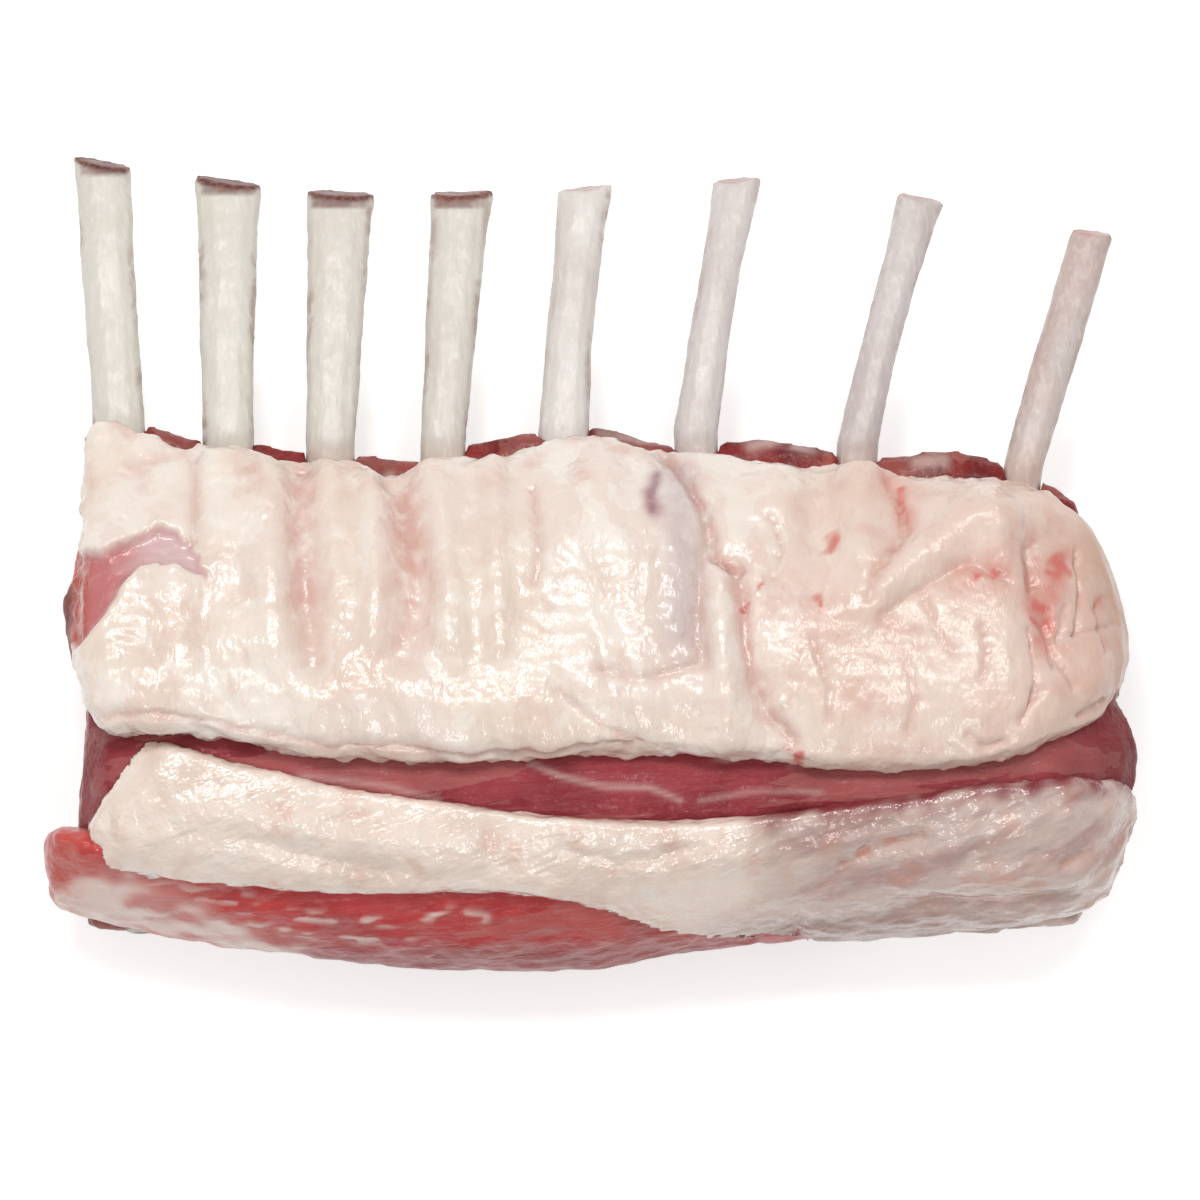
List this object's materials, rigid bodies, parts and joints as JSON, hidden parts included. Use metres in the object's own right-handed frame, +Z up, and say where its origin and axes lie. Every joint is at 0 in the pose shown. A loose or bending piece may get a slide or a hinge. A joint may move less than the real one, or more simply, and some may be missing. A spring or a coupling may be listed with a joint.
{
  "type": "raw rack of lamb",
  "caption": "Raw frenched rack of lamb lying fat side up, a row of bared curved ribs standing out of one side of the meat.",
  "frame": {"origin": "bottom centre of the bounding box, on the plane the rack lies on", "axes": "+X along the rack, from the broad-boned end to the end with the thinnest rib; +Y from the chine side towards the bared rib tips; +Z up, out of the fat side"},
  "size_m": [0.2064, 0.154, 0.049],
  "materials": {
    "bone": "scraped bone, slightly waxy",
    "fat": "moist fat, satin with wet glints",
    "muscle": "raw meat, moist",
    "silverskin": "thin connective skin over fat, glossy"
  },
  "bodies": {
    "root": {"rib_1": "bone", "rib_2": "bone", "rib_3": "bone", "rib_4": "bone", "rib_5": "bone", "rib_6": "bone", "rib_7": "bone", "rib_8": "bone", "rib_meat": "muscle", "loin_eye": "muscle", "chine_muscle": "muscle", "cap_muscle": "muscle", "fat_cap": "fat", "back_fat": "silverskin"}
  },
  "joints": []
}
